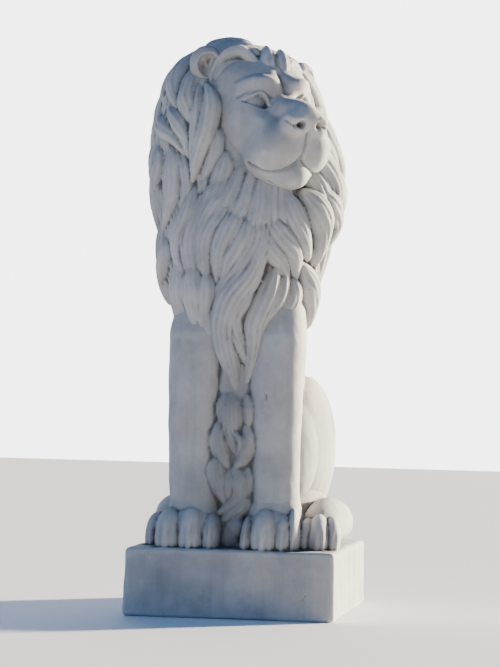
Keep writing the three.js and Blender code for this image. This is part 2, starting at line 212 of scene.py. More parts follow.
def on_mane(theta, z, lift=0):
    """A point on the mane, theta degrees round from the lion's front to the viewer's right."""
    theta, z = np.broadcast_arrays(np.atleast_1d(np.asarray(theta, float)), np.atleast_1d(np.asarray(z, float)))
    x, y, wide, deep, turn = trunk_at(z)
    ray_x, ray_y = np.sin(np.radians(theta)), -np.cos(np.radians(theta))
    c, s = np.cos(np.radians(turn)), np.sin(np.radians(turn))
    reach = 1 / np.hypot((ray_x * c + ray_y * s) / wide, (ray_y * c - ray_x * s) / deep) + lift
    return np.column_stack([x + ray_x * reach, y + ray_y * reach, z])


def out_of_mane(theta, z):
    """The way straight out of the mane, from its slopes over a short step to all sides."""
    step = 6
    around = on_mane(np.asarray(theta, float) + step, z) - on_mane(np.asarray(theta, float) - step, z)
    up = on_mane(theta, np.asarray(z, float) + step) - on_mane(theta, np.asarray(z, float) - step)
    return unit(np.cross(around, up))


def trunk():
    """The body and the mass of the mane in one, from below the plinth's top to the crown."""
    piece = globe(96, 120)
    share, u, v = unrolled(piece)
    z = TRUNK_ROWS[0, 0] + (TRUNK_ROWS[-1, 0] - TRUNK_ROWS[0, 0]) * (1 - share)
    x, y, wide, deep, turn = trunk_at(z)
    u, v = u * wide, v * deep
    c, s = np.cos(np.radians(turn)), np.sin(np.radians(turn))
    return put(piece, np.column_stack([x + u * c - v * s, y + u * s + v * c, z]))


# The photograph's viewpoint, on the part's grid. Hair that shows in it is drawn as it is seen from there.
VIEWPOINT = np.array([627.0, -4297.0, 340.0 - PLINTH_HEIGHT])
YAW, PITCH, ROLL = math.radians(8.38), math.radians(0.81), math.radians(-1.37)
FRAME_WIDTH, FRAME_HEIGHT = 500, 667
FOCAL = 2979  # in pixels
AHEAD = np.array([-math.sin(YAW) * math.cos(PITCH), math.cos(YAW) * math.cos(PITCH), math.sin(PITCH)])
LEVEL_RIGHT = np.array([math.cos(YAW), math.sin(YAW), 0])
LEVEL_UP = np.cross(LEVEL_RIGHT, AHEAD)
RIGHT = LEVEL_RIGHT * math.cos(ROLL) - LEVEL_UP * math.sin(ROLL)
UP = np.cross(RIGHT, AHEAD)
# Distances from the viewpoint that hold the whole mane, searched in short steps.
MANE_NEAR, MANE_FAR, SIGHT_STEP = 3900, 4700, 2.0


def sight(across, down):
    """The line of sight through a place of the photograph, in its own pixels."""
    return unit(AHEAD * FOCAL + RIGHT * (across - FRAME_WIDTH / 2) - UP * (down - FRAME_HEIGHT / 2))


def seen_on_mane(across, down):
    """Where a line of sight meets the mane, as theta and z."""
    ray = sight(across, down)
    line = VIEWPOINT + ray * np.arange(MANE_NEAR, MANE_FAR, SIGHT_STEP)[:, None]
    x, y, wide, deep, turn = trunk_at(line[:, 2])
    c, s = np.cos(np.radians(turn)), np.sin(np.radians(turn))
    dx, dy = line[:, 0] - x, line[:, 1] - y
    depth = np.hypot((dx * c + dy * s) / wide, (dy * c - dx * s) / deep)
    inside = np.nonzero(depth < 1)[0]
    hit = inside[0] if len(inside) else int(np.argmin(depth))
    return math.degrees(math.atan2(dx[hit], -dy[hit])), line[hit, 2]


def seen_on_plane(across, down, y):
    """Where a line of sight meets the upright plane at y."""
    ray = sight(across, down)
    return VIEWPOINT + ray * ((y - VIEWPOINT[1]) / ray[1])


def strands(count, depth, twist=0.0, phase=0.0):
    """Combed strands along a lock, with a sharp valley between each two and two fine lines down each one."""

    def relief(u, t):
        place = (u * 0.5 + 0.5) * count + twist * (t - 0.5) + phase
        off = np.abs((place % 1) * 2 - 1)
        fine = np.abs((place * 2 + 0.5) % 1 * 2 - 1)
        grown = np.clip(leaf(t) * 1.5, 0, 1)
        held = np.clip((1 - np.abs(u)) * 4, 0, 1)
        return depth * grown * held * (off**3 + 0.25 * fine**4)

    return relief


def lock(path, outs, width, proud, bed=4, count=4, depth=2.9, twist=0.8, phase=0.0, rings=40):
    """One lock of hair along a path, its crest proud of it and its underside bedded in the mane."""
    way, out = spline(path), spline(outs)
    thick = proud + bed
    return drawn_out(
        way,
        out,
        lambda t: leaf(t) * width / 2,
        lambda t: np.sqrt(leaf(t)) * thick,
        strands(count, depth, twist, phase),
        segments=12 + 8 * count,
        rings=rings,
    )


# How far every lock is set into the mane, how much deeper at its root, and how far its tip rises.
SET_IN, ROOT_SET_IN, TIP_RISE = 2, 6.0, 2.0


def laid(points, width, proud, lift=0.0, **more):
    """A lock laid on the mane along places given as theta and z, root first."""
    shares = np.linspace(0, 1, len(points))
    lifts = lift - SET_IN - ROOT_SET_IN * np.clip(1 - shares * 3, 0, 1) + TIP_RISE * np.clip(shares * 2 - 1, 0, 1)
    path = [on_mane(theta, z, high)[0] for (theta, z), high in zip(points, lifts)]
    outs = [out_of_mane(theta, z)[0] for theta, z in points]
    return lock(path, outs, width, proud, **more)


def traced(points, width, proud, lift=0.0, **more):
    """A lock laid on the mane along places of the photograph, root first."""
    return laid([seen_on_mane(across, down) for across, down in points], width, proud, lift, **more)


# The locks in front, from root to tip as places of the photograph, then width, proud and lift.
TRACED_LOCKS = [
    # viewer's left of the face, from the ear down
    ([(192, 56), (182, 72), (176, 90), (182, 112)], 36, 12, 2),
    ([(186, 62), (172, 78), (166, 96), (172, 112)], 30, 11, 0),
    ([(196, 76), (190, 96), (192, 112), (196, 130)], 34, 14, 3),
    ([(206, 84), (212, 104), (208, 130), (200, 160), (196, 184)], 30, 16, 4),
    ([(200, 84), (200, 110), (197, 140), (194, 178)], 24, 14, 2),
    ([(170, 108), (180, 122), (188, 138), (192, 160)], 26, 13, 3),
    ([(158, 112), (164, 126), (176, 138), (190, 158)], 26, 12, 1),
    ([(158, 140), (163, 160), (160, 185), (156, 210), (162, 238)], 28, 13, 2),
    ([(172, 146), (176, 170), (174, 200), (166, 238)], 42, 14, 1),
    ([(182, 150), (188, 175), (188, 200), (180, 228)], 26, 11, 0),
    ([(196, 186), (192, 210), (184, 235), (184, 258), (196, 286)], 34, 15, 3),
    ([(205, 190), (200, 215), (192, 245), (200, 290), (208, 322)], 40, 13, 0),
    ([(168, 234), (170, 256), (168, 280), (168, 306)], 30, 14, 4),
    ([(184, 256), (184, 284), (186, 308), (189, 333)], 42, 11, 8),
    ([(196, 262), (197, 286), (199, 310), (200, 334)], 42, 12, 8),
    ([(208, 270), (208, 290), (207, 310), (206, 330)], 34, 12, 6),
    # below the cheek and chin
    ([(228, 190), (216, 206), (206, 224), (200, 246)], 32, 12, 2),
    ([(236, 196), (220, 214), (208, 236), (206, 262), (213, 292)], 42, 13, 1),
    ([(242, 206), (232, 228), (222, 250), (218, 286)], 42, 14, 2),
    ([(252, 214), (244, 240), (230, 262), (222, 286)], 40, 13, 3),
    ([(262, 206), (258, 240), (244, 266), (226, 292), (216, 322)], 50, 14, 2),
    ([(214, 292), (212, 310), (216, 334), (226, 362)], 32, 12, 0),
    # soft hair behind the cheek
    ([(214, 122), (216, 142), (212, 162), (204, 182)], 25, 6, 2),
    ([(224, 150), (224, 168), (217, 184), (209, 200)], 27, 6, 2),
    # soft hair under the jaw
    ([(230, 160), (218, 192), (208, 210), (202, 230)], 37, 9, 0),
    ([(243, 162), (230, 196), (218, 214), (210, 232)], 37, 9, 0),
    ([(254, 166), (244, 204), (234, 222), (226, 244)], 40, 10, 1),
    ([(263, 168), (260, 206), (254, 228), (244, 250)], 42, 11, 1),
    ([(275, 168), (272, 206), (270, 226), (264, 250)], 40, 11, 1),
    ([(284, 170), (282, 206), (284, 224), (290, 246)], 40, 11, 2),
    # the beard
    ([(262, 232), (252, 268), (232, 300), (226, 332), (234, 372), (241, 400)], 44, 20, 6),
    ([(256, 262), (244, 296), (234, 318), (240, 346), (250, 374)], 32, 17, 4),
    ([(276, 262), (266, 292), (254, 322), (251, 356), (243, 399)], 38, 18, 5),
    ([(284, 266), (276, 294), (262, 318), (256, 344)], 30, 15, 4),
    ([(288, 286), (284, 306), (272, 326), (262, 350)], 30, 13, 2),
    # below the chin to the viewer's right
    ([(268, 216), (278, 234), (290, 254), (292, 284)], 44, 14, 3),
    ([(262, 226), (268, 246), (280, 266), (286, 300)], 34, 12, 1),
    ([(284, 192), (290, 214), (298, 238), (304, 262)], 41, 15, 5),
    ([(298, 190), (312, 208), (316, 232), (308, 268)], 46, 17, 7),
    ([(308, 184), (326, 204), (328, 226), (316, 252)], 37, 15, 5),
    ([(296, 262), (302, 284), (302, 306), (297, 330)], 39, 12, 12),
    ([(290, 276), (288, 296), (280, 314), (268, 334)], 34, 11, 10),
]

# Locks on both outer edges and on the crown, as theta and z, then width, proud and lift.
LAID_LOCKS = [
    ([(-70, 690), (-78, 650), (-74, 610), (-60, 572)], 40, 10, 0),
    ([(-84, 660), (-92, 620), (-88, 580), (-78, 540)], 46, 10, 0),
    ([(-62, 600), (-72, 556), (-72, 510), (-66, 452)], 44, 12, 0),
    ([(-80, 596), (-88, 550), (-86, 500), (-78, 440)], 50, 11, 0),
    ([(-62, 470), (-74, 430), (-78, 385), (-72, 342)], 50, 13, 0),
    ([(-84, 470), (-92, 430), (-92, 380), (-84, 338)], 50, 11, 0),
    ([(60, 664), (72, 630), (82, 590), (84, 530)], 46, 12, 0),
    ([(54, 630), (68, 596), (80, 560), (84, 500)], 50, 14, 2),
    ([(50, 600), (66, 560), (78, 510), (78, 452)], 52, 17, 3),
    ([(52, 560), (64, 510), (72, 450), (66, 395)], 46, 14, 2),
    ([(76, 500), (86, 440), (86, 380), (80, 318)], 50, 13, 0),
    ([(66, 440), (74, 400), (72, 350), (62, 300)], 40, 12, 0),
]


def back_locks():
    """The sides and back: broad locks in staggered rows, each row under the tips of the one above."""
    rows = [
        dict(z=716, drop=120, count=6, first=112, last=292, width=56),
        dict(z=640, drop=134, count=8, first=98, last=268, width=60),
        dict(z=556, drop=140, count=8, first=98, last=272, width=62),
        dict(z=470, drop=140, count=8, first=98, last=272, width=60),
    ]
    locks = []
    for row, r in enumerate(rows):
        for i in range(r["count"]):
            theta = r["first"] + (r["last"] - r["first"]) * (i + (row % 2) * 0.5) / (r["count"] - 0.5)
            drift = 9 if theta < 180 else -9
            bend = (6 if i % 2 else -5) + row
            points = [
                (theta - drift, r["z"]),
                (theta - drift * 0.4 + bend * 0.6, r["z"] - r["drop"] * 0.33),
                (theta + bend * -0.2, r["z"] - r["drop"] * 0.67),
                (theta + drift * 0.3, r["z"] - r["drop"]),
            ]
            locks.append(laid(points, r["width"], 11, 3 - row, count=4, phase=0.3 * i))
    return locks


def under_locks():
    """Plain locks that lie under all the others, so that no bare bed shows between them."""
    locks = []
    for row, z in enumerate([690, 640, 590, 540, 490, 440, 392]):
        for i in range(18):
            theta = -100 + 200 * (i + (row % 2) * 0.5) / 17.5
            behind_the_face = z > 500 and -30 < theta < 62
            if behind_the_face:
                continue
            lean = -theta * 0.06
            points = [(theta, z), (theta + lean, z - 36), (theta + 2 * lean, z - 74), (theta + lean, z - 110)]
            locks.append(laid(points, 34, 6, -2, count=3, depth=2.6, phase=0.37 * i + 0.2 * row, rings=24))
    return locks


# -------- head
SKULL = (0, -43, 640)  # the middle of the head on the figure's grid


def on_head(points):
    """From the head's own grid, forward, to the lion's right and up, to the figure's."""
    p = np.atleast_2d(np.asarray(points, float))
    turn = math.radians(HEAD_TURN)
    x, y = -p[:, 1], -p[:, 0]
    return np.column_stack(
        [
            SKULL[0] + x * math.cos(turn) - y * math.sin(turn),
            SKULL[1] + x * math.sin(turn) + y * math.cos(turn),
            SKULL[2] + p[:, 2],
        ]
    )


# Rounded masses that melt into each other, on both sides of the face: forward, right, up, then the radii.
HEAD_MASSES = [
    (-8, 0, 14, 76, 72, 56),  # skull
    (22, 40, -34, 52, 34, 58),  # cheek
    (2, 42, 16, 44, 31, 37),  # temple
    (-8, 50, -54, 42, 31, 60),  # fur behind the cheek
    (52, 24, 19, 30, 25, 15),  # brow
    (34, 0, -8, 46, 38, 38),  # between the eyes
    (90, 0, -23, 55, 24, 20),  # bridge of the nose
    (132, 0, -35, 20, 26, 15),  # nose
    (134, 19, -42, 14, 14, 13),  # wing of the nose
    (62, 38, -46, 34, 20, 26),  # under the eye
    (98, 27, -70, 38, 28, 31),  # whisker pad
    (104, 0, -64, 33, 18, 28),  # between the whisker pads
    (82, 40, -84, 30, 21, 22),  # corner of the lips
    (94, 0, -112, 32, 25, 18),  # chin
    (54, 0, -106, 60, 45, 24),  # lower jaw
    (-4, 0, -98, 58, 56, 42),  # throat
]
HEAD_BLEND = 6.0  # how softly they melt together
HEART = np.array([30.0, 0.0, -38.0])  # a place deep inside all of them
# Every ray from the heart starts at the same reach, outside the head, and is shortened in rounds.
FIRST_REACH, ROUNDS, ROUND_SHARE = 190.0, 50, 0.75
EYE_PLACE, EYE_RADIUS, OPENING_DEPTH = (56, 37, -9), 15, 11
NOSTRIL_PLACE, NOSTRIL_RADIUS, NOSTRIL_DEPTH = (152, 14.5, -43.0), 5.6, 17

# Lines pressed into the face or, with a negative depth, raised on it: points on the head's grid, the half width
# at each point, and the depth.
CREASES = [
    # mouth line, with a deep corner
    ([(84, 54, -101), (92, 49, -105), (103, 36, -108), (118, 21, -104), (123, 6, -95), (128, 0, -87)], 1.8, 6),
    ([(80, 57, -100), (85, 54, -102), (90, 51, -104)], 3.8, 12),
    # the groove under the nose
    ([(146, 0, -54), (139, 0, -66), (128, 0, -87)], 2.0, 3.5),
    # between the brows
    ([(62, 0, 32), (73, 0, 18), (80, 0, 9)], 5.0, 5),
    # wing of the nose: a groove under it, a curl over it, and the nostril's tail
    ([(140, 33, -37), (145, 30, -42), (149, 25, -45)], 1.8, 4),
    ([(140, 31, -30), (148, 27, -35), (154, 17, -34)], 4.0, -2.2),
    ([(149, 24, -44.5), (152, 18, -44), (153, 13, -42)], 3.6, 7),
    # the brow: a fold above the upper lid, the bulge over it and a dip above the bulge
    ([(52, 61, 0), (60, 53, 8), (71, 43, 13), (77, 30, 9), (78, 21, 0)], 3.0, 2.6),
    ([(51, 58, 15), (66, 47, 23), (79, 32, 25), (81, 13, 16)], 7.0, -3.2),
    ([(44, 60, 24), (54, 44, 34), (64, 23, 36)], 5.0, 1.8),
    # the cheekbone
    ([(59, 64, -23), (76, 55, -29), (91, 44, -32)], 6.0, -1.5),
    # the ridge from the eye's corner down the side of the muzzle
    ([(98, 12, -6), (99, 35, -35), (105, 47, -58), (111, 54, -78)], 8.0, -4.5),
    # the hollow between the cheek and the muzzle
    ([(70, 50, -32), (78, 55, -56), (78, 60, -80)], 9.0, 4.0),
    # the tuft under the chin
    ([(88, 31, -120), (93, 19, -127), (96, 9, -131)], 1.6, 3),
]


# The edges of an eye's opening, as distances out from the middle of the face and heights.
UPPER_LID = ([25, 28, 33, 39, 46, 54, 61], [-15, -5, 3, 4.5, 0.5, -3.5, -7])
LOWER_LID = ([25, 29, 34, 42, 52, 61], [-15, -18, -18.5, -15, -10.5, -7])


def head_distance(p):
    """About how far places lie outside the melted masses."""
    side = np.abs(p[:, 1])
    total = np.zeros(len(p))
    for f, r, u, a, b, c in HEAD_MASSES:
        x, y, z = p[:, 0] - f, side - r, p[:, 2] - u
        near = np.sqrt((x / a) ** 2 + (y / b) ** 2 + (z / c) ** 2)
        steep = np.maximum(np.sqrt((x / a**2) ** 2 + (y / b**2) ** 2 + (z / c**2) ** 2), 1e-6)
        total += np.exp(-(near * (near - 1) / steep) / HEAD_BLEND)
    return -HEAD_BLEND * np.log(total + 1e-300)


def face():
    """A globe shrunk onto the melted masses, along rays from the heart of the head, with its pole at the nose."""
    piece = globe(320, 240)
    start = places_of(piece)
    polar = np.pi * (np.arccos(np.clip(start[:, 2], -1, 1)) / np.pi) ** 1.25
    turn = np.arctan2(start[:, 0], start[:, 1])
    rays = np.column_stack([np.cos(polar), np.sin(polar) * np.sin(turn), np.sin(polar) * np.cos(turn)])
    reach = np.full(len(rays), FIRST_REACH)
    for _ in range(ROUNDS):
        reach -= ROUND_SHARE * head_distance(HEART + rays * reach[:, None])
    # The eyes' openings are cut back behind the eyeballs, each between its two lids.
    surface = HEART + rays * reach[:, None]
    across = np.abs(surface[:, 1])
    over = np.interp(across, UPPER_LID[0], UPPER_LID[1]) - surface[:, 2]
    under = surface[:, 2] - np.interp(across, LOWER_LID[0], LOWER_LID[1])
    in_front = surface[:, 0] > 30
    reach -= OPENING_DEPTH * (np.clip(np.minimum(over, under) / 1.2, 0, 1) * in_front)
    for points, half, depth in CREASES:
        for side in (1, -1):
            in_the_middle = all(abs(right) < 1 for _, right, _ in points)
            if side < 0 and in_the_middle:
                continue
            line = spline([(f, side * r, u) for f, r, u in points])(np.linspace(0, 1, 48))
            line_rays = unit(line - HEART)
            nearest = np.max(rays @ line_rays.T, axis=1)
            off = np.sqrt(np.maximum(0, 2 - 2 * nearest)) * reach
            reach = reach - depth * np.exp(-((off / half) ** 2))
    forward, right, up = NOSTRIL_PLACE
    for side in (1, -1):
        pit = unit(np.array([forward, side * right, up]) - HEART)
        off = np.sqrt(np.maximum(0, 2 - 2 * (rays @ pit))) * reach
        reach = reach - NOSTRIL_DEPTH * np.exp(-((off / NOSTRIL_RADIUS) ** 4))
    return put(piece, on_head(HEART + rays * reach[:, None]))


def eye(side):
    """The eyeball, with the ring of the iris and the pupil cut into it."""
    piece = globe(64, 48)
    gaze = unit(np.array([0.94, -side * 0.32, 0.0]))
    start = unit(places_of(piece))
    near = np.degrees(np.arccos(np.clip(start @ gaze, -1, 1)))
    iris_ring, pupil = 1.5 * np.exp(-(((near - 27) / 4.5) ** 2)), 1.8 * np.exp(-((near / 10) ** 2))
    radius = EYE_RADIUS - iris_ring - pupil
    forward, right, up = EYE_PLACE
    return put(piece, on_head(start * radius[:, None] + [forward, side * right, up]))


def lid(points, wide, thick):
    """A raised band along the head, from points on the head's grid."""
    return drawn_out(
        spline(on_head(points)),
        always((0, 0, 1)),
        lambda t: bar(t) * wide,
        lambda t: bar(t) * thick,
        segments=16,
        rings=40,
    )


def lids(side):
    """The upper and the lower lid, from the outer corner of the eye to the inner one."""
    upper = [(46, 61, -6), (56, 54, -2.5), (66, 46, 1.5), (72, 38, 6), (75, 32, 4), (77, 27, -5), (77, 25, -14)]
    lower = [(48, 59, -9), (60, 50, -12.5), (67, 42, -16), (72, 34, -19.5), (75, 28, -19), (77, 25, -15)]
    mirror = lambda points: [(f, side * r, u) for f, r, u in points]
    return [lid(mirror(upper), 2.6, 1.9), lid(mirror(lower), 2.2, 1.5)]


# The raised edge of the hair round the forehead, on the near side from the ear to the middle.
HAIRLINE = [
    (8, 79, 24), (8, 72, 40), (11, 64, 52), (16, 54, 63), (23, 42, 67), (31, 30, 58), (37, 20, 47), (41, 8, 36)
]


def crown(forward, right):
    """The height of the top of the head, in the head's own grid."""
    heights = np.linspace(92, 0, 93)
    wide = np.interp(heights, [0, 10, 50, 78, 89, 92], [112, 110, 88, 58, 24, 4])
    deep = np.interp(heights, [0, 10, 50, 78, 89, 92], [91, 89, 72, 47, 20, 3])
    back = heights[np.argmax((right / wide) ** 2 + ((forward + 46) / deep) ** 2 <= 1)]
    front = 30 + 55 * math.sqrt(max(0, 1 - ((forward + 20) / 62) ** 2 - (right / 87) ** 2))
    return max(back, front)


def hairline():
    """The dome of hair over the forehead: on each side a raised rim and five locks combed behind it over the
    crown, and two forelocks in the middle."""
    dome = ball(on_head([(-20, 6, 30)])[0], (82, 60, 54), turn=HEAD_TURN, segments=64, rings=48)
    heart = on_head([(-24, 0, 10)])[0]
    ahead = on_head([(1, 0, 0.2)])[0] - on_head([(0, 0, 0)])[0]
    edge = spline(HAIRLINE)
    pieces = [dome]
    for side in (1, -1):
        for i, back in enumerate([4, 13, 23, 34, 47, 61]):
            points = []
            for share in (1.0, 0.8, 0.6, 0.4, 0.2, 0.0):
                f, r, u = edge(np.array([share]))[0]
                f, r = f - back * (0.6 + 0.4 * share), max(r, 4 if side > 0 else 12) * (1 - 0.0012 * back)
                top = u if i == 0 else max(crown(f, r), u - 2)
                far_side_lower = 0 if side > 0 else 13
                ends_lower = 4 if share in (0.0, 1.0) else 0
                points.append((f, side * r, top - far_side_lower - ends_lower))
            path = on_head(points)
            proud = 9 if i == 0 else 7
            pieces.append(lock(path, unit(path - heart), 20, proud, count=3, depth=2.6, phase=0.3 * i))
    for points, width in [
        ([(48, 8, 24), (42, 6, 44), (34, 3, 62), (20, 0, 78)], 28),
        ([(52, -10, 26), (46, -14, 46), (40, -17, 60), (28, -18, 73)], 26),
    ]:
        pieces.append(lock(on_head(points), [ahead] * 4, width, 10, count=3))
    return pieces


def ear(side, up):
    """A round ear, cupped towards the front, its bowl low and on the face's side, with a fold inside."""
    piece = globe(64, 48)
    start = places_of(piece)
    front = start[:, 1] < 0
    across, high = start[:, 0] - side * 0.12, start[:, 2] + 0.16
    rim = np.hypot(across / 0.66, high / 0.7)
    shaped = start * [24, 16, 25]
    fold = 6 * np.exp(-(((across * side + 0.1 + 0.5 * high) / 0.13) ** 2)) * (high > -0.2)
    bowl = 22 * np.clip(1 - rim**3, 0, 1) - fold * np.clip(1 - rim, 0, 1) * 2
    shaped[:, 1] = np.where(front, shaped[:, 1] + bowl, shaped[:, 1])
    turn = math.radians(HEAD_TURN - side * 30)
    c, s = math.cos(turn), math.sin(turn)
    x, y = shaped[:, 0] * c - shaped[:, 1] * s, shaped[:, 0] * s + shaped[:, 1] * c
    return put(piece, np.column_stack([x, y, shaped[:, 2]]) + on_head([(-4, side * 81, up)])[0])


# -------- legs, paws, haunches, tail
FRONT_LEG_X = 57
LEAN_X = -9  # how far both front legs lean at the top
# z, middle y, half width, half depth, share of the lean
FRONT_LEG_ROWS = np.array(
    [
        [-4, -112, 42, 46, 0.3],
        [40, -112, 40, 43, 0.5],
        [66, -109, 36, 36, 0.6],
        [100, -108, 36, 34, 0.85],
        [170, -106, 38, 37, 1],
        [250, -100, 40, 42, 1],
        [300, -92, 41, 45, 1],
        [340, -78, 36, 40, 1],
        [372, -62, 26, 28, 1],
    ],
    float,
)


def front_leg(side):
    """A straight leg, a little squared, from the plinth up into the mane."""
    piece = globe(64, 60)
    share, u, v = unrolled(piece)
    z = FRONT_LEG_ROWS[0, 0] + (FRONT_LEG_ROWS[-1, 0] - FRONT_LEG_ROWS[0, 0]) * (1 - share)
    y, wide, deep, lean = rows_at(FRONT_LEG_ROWS, z)
    squarer = lambda s: np.sign(s) * np.abs(s) ** 0.82
    x = side * FRONT_LEG_X + LEAN_X * lean + squarer(u) * wide
    return put(piece, np.column_stack([x, y + squarer(v) * deep, z]))


def toe(x, y, heading=0, length=74, width=27, height=46):
    """A toe from the paw over its knuckle down to the claw, with the claw's two grooves."""
    turn = math.radians(heading)
    ahead = np.array([math.sin(turn), -math.cos(turn), 0])
    along = lambda distance, z: np.array([x, y, z]) + ahead * (distance - length)
    path = spline(
        [
            along(-6, height * 0.34),
            along(length * 0.30, height * 0.56),
            along(length * 0.56, height * 0.50),
            along(length * 0.70, height * 0.16),
            along(length * 0.70, -height * 0.22),
        ]
    )

    def claw(u, t):
        late = np.clip((t - 0.55) / 0.1, 0, 1)
        return late * 3.4 * (np.exp(-(((u - 0.36) / 0.13) ** 2)) + np.exp(-(((u + 0.36) / 0.13) ** 2)))

    return drawn_out(
        path,
        always((0, -0.5, 1.0)),
        lambda t: bar(t) * width / 2,
        lambda t: bar(t) * height * 0.40,
        claw,
        segments=40,
        rings=48,
    )


# The toes of each front paw from the inner one out: x, y, turn, height, width.
FRONT_TOES = {
    -1: [(-31, -181, 2, 50, 24), (-60, -186, 0, 58, 34), (-95, -184, -5, 56, 36)],
    1: [(17, -180, -3, 48, 17), (44, -187, -1, 58, 37), (72, -183, 2, 52, 22), (87, -174, 5, 60, 17)],
}


def front_paw(side):
    """The paw's ball and the instep over it, with its toes in front."""
    middle = side * FRONT_LEG_X - 5
    toes = [toe(x, y, heading=turn, height=height, width=width) for x, y, turn, height, width in FRONT_TOES[side]]
    return [ball((middle, -124, 16), (45, 50, 44)), ball((middle, -108, 40), (40, 40, 40)), *toes]


def haunch(side):
    """The thigh, the knee in front of it and the rump behind."""
    return [
        ball((side * 72, 54, 140), (43, 114, 104), tip=-10, segments=64, rings=48),
        ball((side * 64, -20, 140), (38, 56, 80), tip=-12, segments=48, rings=32),
        ball((side * 48, 84, 146), (50, 88, 108), tip=-6, segments=48, rings=32),
    ]


HIND_FOOT_X = {-1: -103, 1: 117}


def hind_foot(side):
    """The long foot that lies flat beside the front paw, and its three toes."""
    x = HIND_FOOT_X[side]
    path = spline([(x - side * 8, -112, 26), (x, -40, 37), (x + side, 40, 34), (x - side * 4, 108, 22)])
    sole = drawn_out(
        path,
        always((0, 0, 1.0)),
        lambda t: bar(t) * 29,
        lambda t: bar(t) * (38 - 11 * t),
        segments=40,
        rings=40,
    )
    return [
        sole,
        toe(x - side * 19, -148, heading=-side * 2, height=46, width=24, length=64),
        toe(x + side * 1, -150, heading=side * 3, height=52, width=27, length=68),
        toe(x + side * 22, -134, heading=side * 8, height=48, width=22, length=64),
    ]


def tail():
    """The tail lies on the plinth round the rump and ends in a tuft."""
    cord = drawn_out(
        spline([(24, 140, 76), (34, 168, 34), (2, 174, 10), (-60, 172, 9), (-104, 152, 10), (-124, 112, 12)]),
        always((0, 0, 1.0)),
        lambda t: bar(t) * 13,
        lambda t: bar(t) * 13,
        segments=24,
        rings=60,
    )
    tuft = drawn_out(
        spline([(-92, 158, 12), (-120, 136, 16), (-126, 98, 20), (-116, 60, 34)]),
        always((-0.6, 0, 1.0)),
        lambda t: leaf(t) * 21,
        lambda t: leaf(t) * 20,
        strands(5, 3.0, twist=1.5),
        segments=48,
        rings=40,
    )
    return [cord, tuft]


CHEST_FRONT = -128
# Locks between the front legs, root first, as places of the photograph, then width, proud and strands.
CHEST_LOCKS = [
    ([(233, 390), (231, 412), (232, 434), (238, 458)], 38, 9, 6),
    ([(223, 416), (219, 436), (222, 454), (231, 472)], 32, 9, 5),
    ([(246, 420), (249, 440), (244, 458), (232, 471)], 28, 10, 5),
    ([(233, 430), (240, 438), (241, 447), (236, 457)], 11, 13, 3),
    ([(218, 452), (216, 470), (221, 488), (226, 506)], 34, 9, 6),
    ([(231, 464), (240, 482), (238, 499), (215, 516)], 34, 10, 6),
    ([(228, 466), (230, 484), (228, 504)], 22, 8, 4),
    ([(246, 486), (244, 504), (232, 514), (219, 522)], 24, 8, 4),
    ([(248, 462), (248, 484), (245, 506)], 22, 6, 4),
    ([(226, 392), (223, 410), (223, 428)], 20, 5, 4),
    ([(246, 392), (250, 412), (248, 434)], 22, 6, 4),
    ([(240, 508), (236, 520), (228, 532), (224, 548)], 22, 6, 4),
    ([(226, 514), (222, 528), (221, 542), (224, 556)], 18, 5, 3),
]


def chest_hair():
    """The column of hair that fills the gap between the front legs, from the beard down to the plinth."""
    core = ball((-4, CHEST_FRONT + 46, 164), (54, 52, 236), segments=48, rings=48)
    pieces = [core]
    for points, width, proud, count in CHEST_LOCKS:
        path = [seen_on_plane(across, down, CHEST_FRONT) for across, down in points]
        path[0] = path[0] + [0, ROOT_SET_IN, 0]
        pieces.append(lock(path, [(0, -1, 0)] * len(path), width, proud, bed=6, count=count, depth=3.0, twist=0.6))
    # rough ground left between the paws
    for across, down, wide, tall in [(229, 540, 17, 26), (236, 530, 12, 18), (224, 548, 13, 12), (238, 548, 12, 14)]:
        place = seen_on_plane(across, down, CHEST_FRONT - 2)
        pieces.append(ball(place, (wide, 14, tall), turn=across * 7, tip=down * 3, segments=16, rings=10))
    return pieces


# -------- plinth
def plinth():
    """A block with slightly drawn in top edges, as it comes out of a mould, and all its edges rounded."""
    deselect()
    bpy.ops.mesh.primitive_cube_add(size=1, location=(0, 0, 0))
    piece = bpy.context.object
    width, depth, set_back = 300, 390, 2
    places = places_of(piece)
    on_top = places[:, 2] > 0
    taper = np.where(on_top, 1 - set_back / (width / 2), 1.0)
    z = np.where(on_top, 0.0, -PLINTH_HEIGHT)
    put(piece, np.column_stack([places[:, 0] * width * taper, places[:, 1] * depth * taper, z]))
    return finished(piece, "BEVEL", width=6, segments=4)


# -------- the three pieces
# The unevenness of hand work, as the length of a wave and its height, and the number of waves of each length.
HAND_WAVES, WAVES_OF_EACH = [(14, 0.12), (48, 0.5)], 8


def uneven(piece):
    """Slow waves over the whole skin, each of them in a way of its own."""
    seeded = np.random.default_rng(7)
    places = places_of(piece)
    rise = np.zeros(len(places))
    for length, height in HAND_WAVES:
        for _ in range(WAVES_OF_EACH):
            way = unit(seeded.normal(size=3)) * 2 * math.pi / (length * MM) * seeded.uniform(0.7, 1.3)
            rise += height * MM / 3 * np.sin(places @ way + seeded.uniform(0, 2 * math.pi))
    return put(piece, places + normals_of(piece) * rise[:, None])


def marked(piece, marks):
    """Presses small marks into the skin: each a line of places, its half width and its depth."""
    normals, places = normals_of(piece), places_of(piece)
    moved = places.copy()
    around = 20 * MM
    for points, half, depth in marks:
        line = (spline(points)(np.linspace(0, 1, 40)) + [0, 0, PLINTH_HEIGHT]) * MM
        low, high = line.min(axis=0) - around, line.max(axis=0) + around
        near = np.nonzero(np.all((places > low) & (places < high), axis=1))[0]
        off = np.min(np.linalg.norm(places[near, None, :] - line[None], axis=2), axis=1) / MM
        moved[near] -= normals[near] * (depth * MM * np.exp(-((off / half) ** 2)))[:, None]
    return put(piece, moved)


